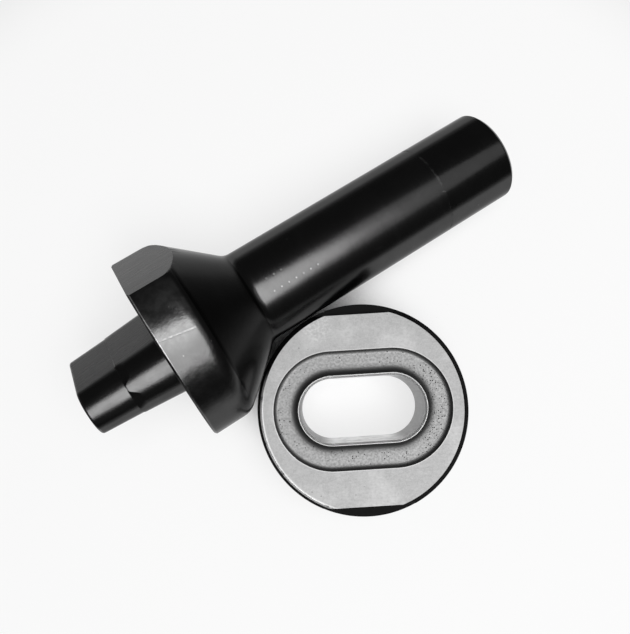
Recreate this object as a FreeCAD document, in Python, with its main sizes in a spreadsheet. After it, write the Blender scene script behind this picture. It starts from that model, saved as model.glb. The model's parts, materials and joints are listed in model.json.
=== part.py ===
import FreeCAD, Part
import math
import os
import Sketcher

from FreeCAD import Placement, Rotation, Vector

# Two-piece hand tool that sets oval eyelets: a grooved lower die and a driver with an oval pilot.
# The origin is the centre of the die's underside, +Z is up, and the oval's long axis lies along X.
# Lengths are in millimetres and angles in degrees.

drivingSizes = [
    ("DieDiameter", 70.0, "outside diameter of the die"),
    ("DieHeight", 27.0, "height of the die"),
    ("DieEdgeChamfer", 1.5, "chamfer round the die's upper edge"),
    ("DieFootChamfer", 0.6, "chamfer round the die's lower edge and the hole's lower edge"),
    ("DieFlatDistance", 31.5, "die's axis to each alignment flat"),
    ("DieFlatDepth", 2.0, "depth of the alignment flats below the face"),
    ("OvalStraight", 20.0, "straight length of every oval, between the centres of its ends"),
    ("HoleWidth", 21.4, "width of the oval hole through the die"),
    ("LipChamfer", 0.6, "chamfer between the rim's land and the hole"),
    ("RimLand", 0.3, "width of the flat land on top of the rim"),
    ("RimDrop", 0.8, "depth of the rim's land below the face"),
    ("GrooveWidth", 8.0, "width of the rolling groove at the face"),
    ("GrooveDepth", 2.8, "depth of the rolling groove below the face"),
    ("GrooveOuterRadius", 1.5, "radius at the foot of the groove's outer wall"),
    ("GrooveInnerRadius", 2.6, "radius that rises from the groove's floor to the rim"),
    ("PilotClearance", 0.5, "gap between the pilot's root and the hole, all round"),
    ("PilotTaperRoot", 1.25, "how much each side of the pilot comes in over its root stage"),
    ("PilotTaperNose", 0.95, "how much each side of the pilot comes in over its nose stage"),
    ("PilotRootLength", 14.5, "length of the pilot's root stage"),
    ("PilotNoseLength", 13.5, "length of the pilot's nose stage"),
    ("PilotEdgeChamfer", 0.6, "chamfer round the pilot's end"),
    ("CurlRadius", 2.2, "radius of the curling groove in the collar's face"),
    ("CurlDepth", 1.8, "depth of the curling groove"),
    ("CurlLand", 0.4, "land between the pilot's root and the curling groove"),
    ("CollarDiameter", 64.0, "diameter of the driver's collar"),
    ("CollarLength", 13.5, "length of the collar's cylinder"),
    ("CollarFlatDistance", 28.0, "driver's axis to each milled flat"),
    ("CollarEdgeChamfer", 0.6, "chamfer round the collar's face"),
    ("CollarBackRadius", 0.5, "rounding where the collar meets the cone"),
    ("ConeLength", 19.0, "length of the cone between collar and shank"),
    ("NeckRadius", 1.5, "fillet where the cone meets the shank"),
    ("ShankDiameter", 32.0, "diameter of the driver's shank"),
    ("ShankLength", 99.0, "length of the driver's shank"),
    ("ShankEndChamfer", 1.2, "chamfer round the struck end of the shank"),
    ("HeadingAngle", 209.3, "direction in which the pilot points, seen from above"),
    ("RollAngle", 144.9, "turn of the driver about its own axis"),
    ("NeckPastDie", 12.0, "how far the neck lies past the die's centre, seen from above"),
    ("RestClearance", 0.3, "gap between the lying driver and the die"),
]

document = FreeCAD.newDocument("OvalEyeletTool")
sheet = document.addObject("Spreadsheet::Sheet", "Sizes")
for row, (name, value, meaning) in enumerate(drivingSizes, start=1):
    sheet.set("A%d" % row, meaning)
    sheet.set("B%d" % row, str(value))
    sheet.setAlias("B%d" % row, name)
document.recompute()

# Sizes that follow from the driving ones, as expressions that sketches and features share
dieRadius = "Sizes.DieDiameter / 2"
holeRadius = "Sizes.HoleWidth / 2"
rimRadius = "Sizes.HoleWidth / 2 + Sizes.LipChamfer + Sizes.RimLand"
rimHeight = "Sizes.DieHeight - Sizes.RimDrop"
pilotRoot = "Sizes.HoleWidth / 2 - Sizes.PilotClearance"
pilotWaist = pilotRoot + " - Sizes.PilotTaperRoot"
pilotNose = pilotWaist + " - Sizes.PilotTaperNose"
pilotLength = "Sizes.PilotRootLength + Sizes.PilotNoseLength"
collarRadius = "Sizes.CollarDiameter / 2"
shankRadius = "Sizes.ShankDiameter / 2"
coneBack = "-Sizes.CollarLength - Sizes.ConeLength"
driverBack = coneBack + " - Sizes.ShankLength"


def amount(expression):
    """Value of an expression on the sheet's sizes."""
    return float(sheet.evalExpression(expression))


# Helpers for sketches

def originPlane(body, role):
    for feature in body.Origin.OriginFeatures:
        if feature.Role == role:
            return feature
    raise ValueError("no plane " + role)


def newSketch(body, name, role, height=None):
    """Sketch on one of the body's own planes, moved along its normal by an expression."""
    sketch = body.newObject("Sketcher::SketchObject", name)
    sketch.AttachmentSupport = (originPlane(body, role), [""])
    sketch.MapMode = "FlatFace"
    if height:
        sketch.setExpression(".AttachmentOffset.Base.z", height)
    return sketch


def drive(sketch, kind, places, name, expression):
    """Dimension that follows an expression on the sheet's sizes."""
    index = sketch.addConstraint(Sketcher.Constraint(kind, *places, amount(expression)))
    sketch.renameConstraint(index, name)
    sketch.setExpression("Constraints." + name, expression)


def drawLine(sketch, startX, startY, endX, endY):
    return sketch.addGeometry(Part.LineSegment(Vector(startX, startY, 0), Vector(endX, endY, 0)), False)


def drawArc(sketch, centreX, centreY, radius, startAngle, endAngle):
    circle = Part.Circle(Vector(centreX, centreY, 0), Vector(0, 0, 1), radius)
    return sketch.addGeometry(Part.ArcOfCircle(circle, startAngle, endAngle), False)


def drawCircle(sketch, centreX, centreY, radius):
    circle = Part.Circle(Vector(centreX, centreY, 0), Vector(0, 0, 1), radius)
    return sketch.addGeometry(circle, False)


def drawOval(sketch, endRadius):
    """Oval of two straights and two half circles, centred on the sketch's origin."""
    radius = amount(endRadius)
    half = amount("Sizes.OvalStraight / 2")
    quarter = math.pi / 2
    right = drawArc(sketch, half, 0, radius, -quarter, quarter)
    top = drawLine(sketch, half, radius, -half, radius)
    left = drawArc(sketch, -half, 0, radius, quarter, 3 * quarter)
    low = drawLine(sketch, -half, -radius, half, -radius)
    sketch.addConstraint(Sketcher.Constraint("Tangent", right, 2, top, 1))
    sketch.addConstraint(Sketcher.Constraint("Tangent", top, 2, left, 1))
    sketch.addConstraint(Sketcher.Constraint("Tangent", left, 2, low, 1))
    sketch.addConstraint(Sketcher.Constraint("Tangent", low, 2, right, 1))
    sketch.addConstraint(Sketcher.Constraint("Symmetric", right, 3, left, 3, -1, 1))
    sketch.addConstraint(Sketcher.Constraint("PointOnObject", right, 3, -1))
    drive(sketch, "DistanceX", (-1, 1, right, 3), "halfStraight", "Sizes.OvalStraight / 2")
    drive(sketch, "Radius", (right,), "endRadius", endRadius)


def drawProfile(sketch, corners):
    """Closed outline of straight sides through corners of two expressions, or None on an axis."""
    points = [(amount(x) if x else 0, amount(y) if y else 0) for x, y in corners]
    lines = []
    for here, after in zip(points, points[1:] + points[:1]):
        lines.append(drawLine(sketch, *here, *after))
    for line, following in zip(lines, lines[1:] + lines[:1]):
        sketch.addConstraint(Sketcher.Constraint("Coincident", line, 2, following, 1))
    for line, (x, y) in zip(lines, corners):
        if x:
            drive(sketch, "DistanceX", (-1, 1, line, 1), "across%d" % line, x)
        else:
            sketch.addConstraint(Sketcher.Constraint("PointOnObject", line, 1, -2))
        if y:
            drive(sketch, "DistanceY", (-1, 1, line, 1), "along%d" % line, y)
        else:
            sketch.addConstraint(Sketcher.Constraint("PointOnObject", line, 1, -1))


def drawFlats(sketch, distance, reach):
    """Two rectangles outside a pair of flats, wide enough to clear the round."""
    for sign in ("", "-"):
        drawProfile(sketch, [
            ("-" + reach, sign + distance),
            (reach, sign + distance),
            (reach, sign + reach),
            ("-" + reach, sign + reach),
        ])


def drawGroove(sketch):
    """Section of the rolling groove: steep outer wall, level floor, wide round up to the rim."""
    rim = amount(rimRadius)
    outer = rim + amount("Sizes.GrooveWidth")
    above = amount("Sizes.GrooveWidth")
    depth = amount("Sizes.GrooveDepth")
    drop = amount("Sizes.RimDrop")
    outerRound = amount("Sizes.GrooveOuterRadius")
    innerRound = amount("Sizes.GrooveInnerRadius")
    rimSine = (innerRound - depth + drop) / innerRound
    floorStart = outer - outerRound
    floorEnd = rim + innerRound * math.sqrt(1 - rimSine ** 2)
    quarter = math.pi / 2

    top = drawLine(sketch, rim, above, outer, above)
    wall = drawLine(sketch, outer, above, outer, outerRound - depth)
    outerArc = drawArc(sketch, floorStart, outerRound - depth, outerRound, -quarter, 0)
    floor = drawLine(sketch, floorStart, -depth, floorEnd, -depth)
    innerArc = drawArc(sketch, floorEnd, innerRound - depth, innerRound,
                       math.pi + math.asin(rimSine), 3 * quarter)
    riser = drawLine(sketch, rim, -drop, rim, above)
    for line in (top, floor):
        sketch.addConstraint(Sketcher.Constraint("Horizontal", line))
    for line in (wall, riser):
        sketch.addConstraint(Sketcher.Constraint("Vertical", line))
    sketch.addConstraint(Sketcher.Constraint("Coincident", top, 2, wall, 1))
    sketch.addConstraint(Sketcher.Constraint("Coincident", riser, 2, top, 1))
    sketch.addConstraint(Sketcher.Constraint("Coincident", innerArc, 1, riser, 1))
    sketch.addConstraint(Sketcher.Constraint("Tangent", wall, 2, outerArc, 2))
    sketch.addConstraint(Sketcher.Constraint("Tangent", outerArc, 1, floor, 1))
    sketch.addConstraint(Sketcher.Constraint("Tangent", floor, 2, innerArc, 2))
    drive(sketch, "Radius", (outerArc,), "outerRound", "Sizes.GrooveOuterRadius")
    drive(sketch, "Radius", (innerArc,), "innerRound", "Sizes.GrooveInnerRadius")
    drive(sketch, "DistanceX", (-1, 1, riser, 1), "rimEdge", rimRadius)
    drive(sketch, "DistanceX", (riser, 1, wall, 2), "grooveWidth", "Sizes.GrooveWidth")
    drive(sketch, "DistanceY", (riser, 1, -1, 1), "rimDrop", "Sizes.RimDrop")
    drive(sketch, "DistanceY", (floor, 1, -1, 1), "grooveDepth", "Sizes.GrooveDepth")
    drive(sketch, "DistanceY", (-1, 1, top, 1), "above", "Sizes.GrooveWidth")


def drawCurl(sketch):
    """Section of the curling groove: a circle that dips below the collar's face."""
    height = "Sizes.CurlRadius - Sizes.CurlDepth"
    halfChord = "sqrt(Sizes.CurlRadius ^ 2 - (Sizes.CurlRadius - Sizes.CurlDepth) ^ 2)"
    across = pilotRoot + " + Sizes.CurlLand + " + halfChord
    circle = drawCircle(sketch, amount(across), amount(height), amount("Sizes.CurlRadius"))
    drive(sketch, "Radius", (circle,), "curlRadius", "Sizes.CurlRadius")
    drive(sketch, "DistanceX", (-1, 1, circle, 3), "curlAcross", across)
    drive(sketch, "DistanceY", (-1, 1, circle, 3), "curlHeight", height)


# Helpers for finding edges

def edgesWhere(feature, test):
    return ["Edge%d" % (i + 1) for i, edge in enumerate(feature.Shape.Edges) if test(edge)]


def near(first, second, tolerance=0.01):
    return abs(first - second) < tolerance


def levelEdge(edge, height):
    box = edge.BoundBox
    return near(box.ZMin, height) and near(box.ZMax, height)


def roundEdge(edge, height, radius):
    curve = edge.Curve
    return levelEdge(edge, height) and isinstance(curve, Part.Circle) and near(curve.Radius, radius)


def ovalEdge(edge, height, radius):
    """True for an edge of the oval of this end radius at this height."""
    if not levelEdge(edge, height):
        return False
    if isinstance(edge.Curve, Part.Circle):
        return near(edge.Curve.Radius, radius)
    return near(abs(edge.BoundBox.YMin), radius) and near(edge.BoundBox.YLength, 0)


# Helpers for features. Each cut has to take material away, or the model stops.

def fromSketch(body, kind, name, sketch):
    feature = body.newObject(kind, name)
    feature.Profile = sketch
    return feature


def requireLess(feature, before):
    document.recompute()
    if not feature.Shape.Volume < before.Shape.Volume:
        raise RuntimeError("cuts nothing: " + feature.Name)
    return feature


def cutInto(body, name, sketch, before, depth):
    pocket = fromSketch(body, "PartDesign::Pocket", name, sketch)
    pocket.setExpression("Length", depth)
    return requireLess(pocket, before)


def sweepCut(body, name, profile, spine, before):
    pipe = fromSketch(body, "PartDesign::SubtractivePipe", name, profile)
    pipe.Spine = spine
    return requireLess(pipe, before)


def dress(body, kind, name, before, edges, sizeName):
    """Fillet or chamfer on some edges of the feature before it."""
    if not edges:
        raise RuntimeError("no edges for " + name)
    feature = body.newObject("PartDesign::" + kind, name)
    feature.Base = (before, edges)
    sizeProperty = "Radius" if kind == "Fillet" else "Size"
    feature.setExpression(sizeProperty, "Sizes." + sizeName)
    document.recompute()
    return feature


# The pieces

def makeDie():
    """Round disc with alignment flats, a rolling groove and an oval hole."""
    body = document.addObject("PartDesign::Body", "Die")
    body.Label = "die"
    radius = amount(dieRadius)
    top = amount("Sizes.DieHeight")

    discSketch = newSketch(body, "DiscSketch", "XY_Plane")
    discCircle = drawCircle(discSketch, 0, 0, radius)
    discSketch.addConstraint(Sketcher.Constraint("Coincident", discCircle, 3, -1, 1))
    drive(discSketch, "Radius", (discCircle,), "discRadius", dieRadius)
    pad = fromSketch(body, "PartDesign::Pad", "Disc", discSketch)
    pad.setExpression("Length", "Sizes.DieHeight")
    document.recompute()

    upperEdge = edgesWhere(pad, lambda edge: roundEdge(edge, top, radius))
    chamfered = dress(body, "Chamfer", "EdgeChamfer", pad, upperEdge, "DieEdgeChamfer")
    lowerEdge = edgesWhere(chamfered, lambda edge: roundEdge(edge, 0, radius))
    disc = dress(body, "Chamfer", "FootChamfer", chamfered, lowerEdge, "DieFootChamfer")

    flatSketch = newSketch(body, "DieFlatSketch", "XY_Plane", "Sizes.DieHeight")
    drawFlats(flatSketch, "Sizes.DieFlatDistance", "Sizes.DieDiameter")
    flats = cutInto(body, "DieFlats", flatSketch, disc, "Sizes.DieFlatDepth")

    # The island inside the groove lies a little below the face
    islandSketch = newSketch(body, "IslandSketch", "XY_Plane", "Sizes.DieHeight")
    drawOval(islandSketch, rimRadius + " + Sizes.GrooveWidth / 2")
    island = cutInto(body, "Island", islandSketch, flats, "Sizes.RimDrop")

    grooveSpine = newSketch(body, "GrooveSpine", "XY_Plane", "Sizes.DieHeight")
    drawOval(grooveSpine, rimRadius)
    grooveProfile = newSketch(body, "GrooveProfile", "YZ_Plane", "Sizes.OvalStraight / 2")
    grooveProfile.setExpression(".AttachmentOffset.Base.y", "Sizes.DieHeight")
    drawGroove(grooveProfile)
    groove = sweepCut(body, "RollingGroove", grooveProfile, grooveSpine, island)

    holeSketch = newSketch(body, "HoleSketch", "XY_Plane", "Sizes.DieHeight")
    drawOval(holeSketch, holeRadius)
    hole = cutInto(body, "OvalHole", holeSketch, groove, "Sizes.DieHeight")

    lipEdges = edgesWhere(hole, lambda edge: ovalEdge(edge, amount(rimHeight), amount(holeRadius)))
    lip = dress(body, "Chamfer", "Lip", hole, lipEdges, "LipChamfer")
    footEdges = edgesWhere(lip, lambda edge: ovalEdge(edge, 0, amount(holeRadius)))
    dress(body, "Chamfer", "HoleFoot", lip, footEdges, "DieFootChamfer")
    return body, disc


def turnBlank(body):
    """Shank, cone and collar, turned in one piece."""
    sketch = newSketch(body, "TurnedSketch", "XZ_Plane")
    drawProfile(sketch, [
        (None, None),
        (collarRadius, None),
        (collarRadius, "-Sizes.CollarLength"),
        (shankRadius, coneBack),
        (shankRadius, driverBack),
        (None, driverBack),
    ])
    turned = fromSketch(body, "PartDesign::Revolution", "Turned", sketch)
    turned.ReferenceAxis = (sketch, ["V_Axis"])
    turned.Angle = 360
    document.recompute()

    feature = turned
    for kind, name, height, radius, sizeName in (
            ("Chamfer", "FaceChamfer", "0", collarRadius, "CollarEdgeChamfer"),
            ("Chamfer", "StruckEnd", driverBack, shankRadius, "ShankEndChamfer"),
            ("Fillet", "BackRound", "-Sizes.CollarLength", collarRadius, "CollarBackRadius"),
            ("Fillet", "Neck", coneBack, shankRadius, "NeckRadius")):
        edges = edgesWhere(feature, lambda edge: roundEdge(edge, amount(height), amount(radius)))
        feature = dress(body, kind, name, feature, edges, sizeName)
    return feature


def makeDriver():
    """Driver in its own frame, with the collar's face at z = 0 and the pilot along +Z."""
    body = document.addObject("PartDesign::Body", "Driver")
    body.Label = "driver"
    blank = turnBlank(body)

    flatSketch = newSketch(body, "CollarFlatSketch", "XY_Plane")
    drawFlats(flatSketch, "Sizes.CollarFlatDistance", "Sizes.CollarDiameter")
    flats = cutInto(body, "CollarFlats", flatSketch, blank, "Sizes.CollarLength + Sizes.ConeLength")

    curlSpine = newSketch(body, "CurlSpine", "XY_Plane")
    drawOval(curlSpine, pilotRoot)
    curlProfile = newSketch(body, "CurlProfile", "YZ_Plane", "Sizes.OvalStraight / 2")
    drawCurl(curlProfile)
    sweepCut(body, "CurlingGroove", curlProfile, curlSpine, flats)

    stages = []
    for name, height, radius in (
            ("PilotRoot", None, pilotRoot),
            ("PilotWaist", "Sizes.PilotRootLength", pilotWaist),
            ("PilotNose", pilotLength, pilotNose)):
        stage = newSketch(body, name, "XY_Plane", height)
        drawOval(stage, radius)
        stages.append(stage)
    pilot = fromSketch(body, "PartDesign::AdditiveLoft", "Pilot", stages[0])
    pilot.Sections = stages[1:]
    pilot.Ruled = True
    document.recompute()
    noseEdges = edgesWhere(pilot, lambda edge: levelEdge(edge, amount(pilotLength)))
    dress(body, "Chamfer", "PilotEdge", pilot, noseEdges, "PilotEdgeChamfer")
    return body, blank


# Where the driver lies. The back edge of its collar and the edge of its struck end rest on the
# table, and it leans towards the die with a small gap.

def restTilt():
    """Tilt of the lying driver and the height of its axis at the struck end."""
    backRadius = amount("Sizes.CollarBackRadius")
    endChamfer = amount("Sizes.ShankEndChamfer")
    shank = amount(shankRadius)
    collar = amount(collarRadius)
    coneAngle = math.atan2(collar - shank, amount("Sizes.ConeLength"))
    backAlong = amount("Sizes.ShankLength + Sizes.ConeLength") + backRadius * math.tan(coneAngle / 2)
    along = backAlong - endChamfer
    across = collar - backRadius - shank
    tilt = math.atan2(across, along) + math.asin(backRadius / math.hypot(along, across))
    return tilt, shank * math.cos(tilt) - endChamfer * math.sin(tilt)


def restPlacement(sideDistance):
    """Placement of the driver whose axis passes this far from the die's, seen from above."""
    tilt, endHeight = restTilt()
    headingAngle = amount("Sizes.HeadingAngle")
    forward = Rotation(Vector(0, 0, 1), headingAngle).multVec(Vector(1, 0, 0))
    leftward = Rotation(Vector(0, 0, 1), headingAngle).multVec(Vector(0, 1, 0))
    reach = amount("Sizes.ShankLength") * math.cos(tilt) - amount("Sizes.NeckPastDie")
    struckEnd = leftward * -sideDistance - forward * reach + Vector(0, 0, endHeight)
    axis = forward * math.cos(tilt) + Vector(0, 0, math.sin(tilt))
    turn = Rotation(Vector(0, 0, 1), headingAngle)
    lean = Rotation(Vector(0, 1, 0), 90 - math.degrees(tilt))
    roll = Rotation(Vector(0, 0, 1), amount("Sizes.RollAngle"))
    return Placement(struckEnd - axis * amount(driverBack), turn.multiply(lean).multiply(roll))


def lieBeside(neighbour, lyingShape, clearance, tolerance=0.002):
    """Brings the driver in from the side until it lies this far from its neighbour."""
    sideDistance = amount(dieRadius) + amount(collarRadius) + clearance
    gap = math.inf
    while abs(gap - clearance) > tolerance:
        placed = lyingShape.copy()
        placed.Placement = restPlacement(sideDistance).multiply(lyingShape.Placement)
        gap = placed.distToShape(neighbour)[0]
        sideDistance -= gap - clearance
    return sideDistance


dieBody, dieDisc = makeDie()
driverBody, driverBlank = makeDriver()
driverSide = lieBeside(dieDisc.Shape, driverBlank.Shape, amount("Sizes.RestClearance"))
driverBody.Placement = restPlacement(driverSide)
document.recompute()

# Checks and files

for item in document.Objects:
    if "Invalid" in item.State or "Error" in item.State:
        raise RuntimeError("failed: " + item.Name)

os.makedirs("parts", exist_ok=True)
for body in (dieBody, driverBody):
    shape = body.Shape
    if shape.isNull() or not shape.isValid() or len(shape.Solids) != 1:
        raise RuntimeError("bad shape: " + body.Label)
    shape.exportStep("parts/" + body.Label + ".step")
    lowest = shape.optimalBoundingBox(False).ZMin
    print(body.Label, "volume %.1f, lowest point %.3f" % (shape.Volume, lowest))
print("tilt %.4f degrees, axis %.4f from the die's" % (math.degrees(restTilt()[0]), driverSide))
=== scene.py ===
import json
import math

import bmesh
import bpy
from mathutils import Matrix, Vector


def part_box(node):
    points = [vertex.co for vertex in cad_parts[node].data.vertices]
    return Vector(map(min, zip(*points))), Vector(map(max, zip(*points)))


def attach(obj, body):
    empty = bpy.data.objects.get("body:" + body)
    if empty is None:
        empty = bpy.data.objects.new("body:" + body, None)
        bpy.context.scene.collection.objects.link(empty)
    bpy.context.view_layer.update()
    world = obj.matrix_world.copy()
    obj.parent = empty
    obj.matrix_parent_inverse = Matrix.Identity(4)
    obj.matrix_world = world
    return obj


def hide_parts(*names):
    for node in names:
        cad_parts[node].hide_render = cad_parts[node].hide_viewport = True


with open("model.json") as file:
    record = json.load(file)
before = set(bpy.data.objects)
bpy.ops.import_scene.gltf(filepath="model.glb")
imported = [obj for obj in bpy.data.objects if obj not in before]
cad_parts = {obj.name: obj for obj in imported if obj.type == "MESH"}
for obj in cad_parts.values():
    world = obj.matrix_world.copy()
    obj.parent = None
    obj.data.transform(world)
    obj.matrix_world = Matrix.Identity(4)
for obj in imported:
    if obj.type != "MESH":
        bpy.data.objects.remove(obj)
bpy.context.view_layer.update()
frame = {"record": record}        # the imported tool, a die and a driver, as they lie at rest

mm = 0.001
record = frame["record"]
mounts = {mount["name"]: mount for mount in record["mounts"]}


# Selecting and changing meshes, as by hand

def makeActive(piece):
    bpy.ops.object.select_all(action="DESELECT")
    piece.select_set(True)
    bpy.context.view_layer.objects.active = piece


def pickVertices(piece, test):
    bpy.ops.mesh.select_mode(type="VERT")
    bpy.ops.mesh.select_all(action="DESELECT")
    shape = bmesh.from_edit_mesh(piece.data)
    for vertex in shape.verts:
        vertex.select = test(vertex.co / mm)
    shape.select_flush_mode()
    bmesh.update_edit_mesh(piece.data)


def pickEdges(piece, test):
    bpy.ops.mesh.select_mode(type="EDGE")
    bpy.ops.mesh.select_all(action="DESELECT")
    shape = bmesh.from_edit_mesh(piece.data)
    for edge in shape.edges:
        edge.select = test(edge)
    shape.select_flush_mode()
    bmesh.update_edit_mesh(piece.data)


def pickFaces(piece, test):
    bpy.ops.mesh.select_mode(type="FACE")
    bpy.ops.mesh.select_all(action="DESELECT")
    shape = bmesh.from_edit_mesh(piece.data)
    for face in shape.faces:
        face.select = test(face.calc_center_median() / mm, face.normal)
    shape.select_flush_mode()
    bmesh.update_edit_mesh(piece.data)


def applyModifier(piece, kind, name, **settings):
    modifier = piece.modifiers.new(name, kind)
    for key, value in settings.items():
        setattr(modifier, key, value)
    makeActive(piece)
    bpy.ops.object.modifier_apply(modifier=name)


# Outlines of a section, in mm: x is the distance from the axis and y the height

def arcPoints(across, height, radius, start, end, steps):
    angles = [math.radians(start + (end - start) * i / steps) for i in range(steps + 1)]
    return [(across + radius * math.cos(a), height + radius * math.sin(a), 0) for a in angles]


def softened(outline, steps=3):      # rounds each corner off over its own third number
    corners = [Vector(corner[:2]) for corner in outline]
    points = []
    for index, corner in enumerate(corners):
        soft = outline[index][2]
        if not soft:
            points.append(corner)
            continue
        before = corners[index - 1]
        after = corners[(index + 1) % len(corners)]
        start = corner + (before - corner).normalized() * soft
        end = corner + (after - corner).normalized() * soft
        for i in range(steps + 1):
            share = i / steps
            points.append(start * (1 - share) ** 2 + corner * 2 * share * (1 - share) + end * share ** 2)
    return points


# A point that is extruded along an outline, and the outline that is spun about the axis

def spinOutline(name, outline, closed, steps=250):
    bpy.ops.object.select_all(action="DESELECT")
    bpy.ops.mesh.primitive_plane_add(size=mm, location=(0, 0, 0))
    piece = bpy.context.object
    piece.name = name
    piece.data.name = name
    bpy.ops.object.mode_set(mode="EDIT")
    bpy.ops.mesh.select_mode(type="VERT")
    bpy.ops.mesh.select_all(action="SELECT")
    bpy.ops.mesh.merge(type="CENTER")
    here = outline[0]
    bpy.ops.transform.translate(value=(here.x * mm, 0, here.y * mm))
    for point in outline[1:] + outline[:1] * closed:
        step = (point - here) * mm
        bpy.ops.mesh.extrude_region_move(TRANSFORM_OT_translate={"value": (step.x, 0, step.y)})
        here = point
    bpy.ops.mesh.select_all(action="SELECT")
    bpy.ops.mesh.remove_doubles(threshold=0.002 * mm)
    bpy.ops.mesh.select_all(action="SELECT")
    bpy.ops.mesh.spin(steps=steps, angle=2 * math.pi, center=(0, 0, 0), axis=(0, 0, 1))
    bpy.ops.mesh.select_all(action="SELECT")
    bpy.ops.mesh.remove_doubles(threshold=0.002 * mm)
    bpy.ops.mesh.select_all(action="SELECT")
    bpy.ops.mesh.normals_make_consistent(inside=False)
    bpy.ops.object.mode_set(mode="OBJECT")
    return piece


# Pulls the two halves of the inner rings apart, so that round rings become ovals. The number of
# steps in the spin isn't a multiple of four, so no point lies on the line where they part.

def stretchToOval(piece, straight, inside):
    bpy.ops.object.mode_set(mode="EDIT")
    for side in (1, -1):
        pickVertices(piece, lambda place: inside(place) and place.x * side > 0)
        bpy.ops.transform.translate(value=(side * straight / 2 * mm, 0, 0))
    bpy.ops.object.mode_set(mode="OBJECT")


def finishShape(piece, smoothAngle=50):
    makeActive(piece)
    bpy.ops.object.mode_set(mode="EDIT")
    bpy.ops.mesh.select_all(action="SELECT")
    bpy.ops.mesh.normals_make_consistent(inside=False)
    bpy.ops.object.mode_set(mode="OBJECT")
    makeActive(piece)
    bpy.ops.object.shade_smooth_by_angle(angle=math.radians(smoothAngle))
    applyModifier(piece, "WEIGHTED_NORMAL", "evenShading", keep_sharp=True, weight=100)


def softenEdges(piece, width, test, segments=3):
    bpy.ops.object.mode_set(mode="EDIT")
    pickEdges(piece, test)
    bpy.ops.mesh.bevel(offset=width * mm, segments=segments, profile=0.5, clamp_overlap=True)
    bpy.ops.object.mode_set(mode="OBJECT")


# Shader nodes

def addNode(tree, kind, inputs=None, **settings):
    node = tree.nodes.new(kind)
    for name, value in settings.items():
        setattr(node, name, value)
    for socket, value in (inputs or {}).items():
        if isinstance(value, bpy.types.NodeSocket):
            tree.links.new(value, node.inputs[socket])
        else:
            node.inputs[socket].default_value = value
    return node


def addMath(tree, operation, *values, clamp=False):
    node = addNode(tree, "ShaderNodeMath", dict(enumerate(values)), operation=operation, use_clamp=clamp)
    return node.outputs["Value"]


def addRange(tree, value, start, end, low=0.0, high=1.0):
    node = addNode(tree, "ShaderNodeMapRange", {
        "Value": value, "From Min": start, "From Max": end, "To Min": low, "To Max": high},
        interpolation_type="SMOOTHSTEP")
    return node.outputs["Result"]


def addMix(tree, share, first, second):      # numbers or colours, by what the first one is
    isColour = isinstance(first, tuple) or getattr(first, "type", "") == "RGBA"
    kind, offset = ("RGBA", 6) if isColour else ("FLOAT", 2)
    node = addNode(tree, "ShaderNodeMix", {0: share, offset: first, offset + 1: second}, data_type=kind)
    return node.outputs[2 if isColour else 0]


def addEffect(tree, group, inputs):
    node = addNode(tree, "ShaderNodeGroup", node_tree=group)
    for socket, value in inputs.items():
        if isinstance(value, bpy.types.NodeSocket):
            tree.links.new(value, node.inputs[socket])
        else:
            node.inputs[socket].default_value = value
    return node.outputs[0]


def newEffect(name, inputs, output, outputType="NodeSocketFloat"):
    group = bpy.data.node_groups.new(name, "ShaderNodeTree")
    for socketName, value in inputs.items():
        kind = "NodeSocketVector" if value is None else "NodeSocketFloat"
        socket = group.interface.new_socket(socketName, in_out="INPUT", socket_type=kind)
        if value is not None:
            socket.default_value = value
    group.interface.new_socket(output, in_out="OUTPUT", socket_type=outputType)
    return group, group.nodes.new("NodeGroupInput").outputs, group.nodes.new("NodeGroupOutput")


def makeCloudEffect():      # soft blotches
    group, given, result = newEffect("cloudPatches", {
        "Vector": None, "Scale": 1.0, "Detail": 3.0, "Start": 0.45, "End": 0.65}, "Mask")
    noise = addNode(group, "ShaderNodeTexNoise", {
        "Vector": given["Vector"], "Scale": given["Scale"], "Detail": given["Detail"], "Roughness": 0.6})
    mask = addRange(group, noise.outputs["Fac"], given["Start"], given["End"])
    group.links.new(mask, result.inputs["Mask"])
    return group


def makeSpotEffect():      # pits, dust and specks: small round spots, only some of them there
    group, given, result = newEffect("scatteredSpots", {
        "Vector": None, "Scale": 1.0, "Size": 0.2, "Share": 0.3}, "Mask")
    cells = addNode(group, "ShaderNodeTexVoronoi", {"Vector": given["Vector"], "Scale": given["Scale"]})
    chance = addNode(group, "ShaderNodeSeparateColor", {"Color": cells.outputs["Color"]})
    isThere = addMath(group, "LESS_THAN", chance.outputs["Red"], given["Share"])
    size = addMath(group, "MULTIPLY", given["Size"],
                   addMath(group, "MULTIPLY_ADD", chance.outputs["Green"], 0.7, 0.3))
    inside = addRange(group, cells.outputs["Distance"], size, addMath(group, "MULTIPLY", size, 0.5))
    group.links.new(addMath(group, "MULTIPLY", inside, isThere), result.inputs["Mask"])
    return group


def makeToolMarkEffect():      # fine lines left by a cutter, long in the axes with a small scale
    group, given, result = newEffect("toolMarks", {
        "Vector": None, "Scale": None, "Detail": 3.0}, "Height")
    stretched = addNode(group, "ShaderNodeVectorMath", {
        0: given["Vector"], 1: given["Scale"]}, operation="MULTIPLY")
    noise = addNode(group, "ShaderNodeTexNoise", {
        "Vector": stretched.outputs["Vector"], "Scale": 1.0, "Detail": given["Detail"],
        "Roughness": 0.65})
    group.links.new(noise.outputs["Fac"], result.inputs["Height"])
    return group


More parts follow.
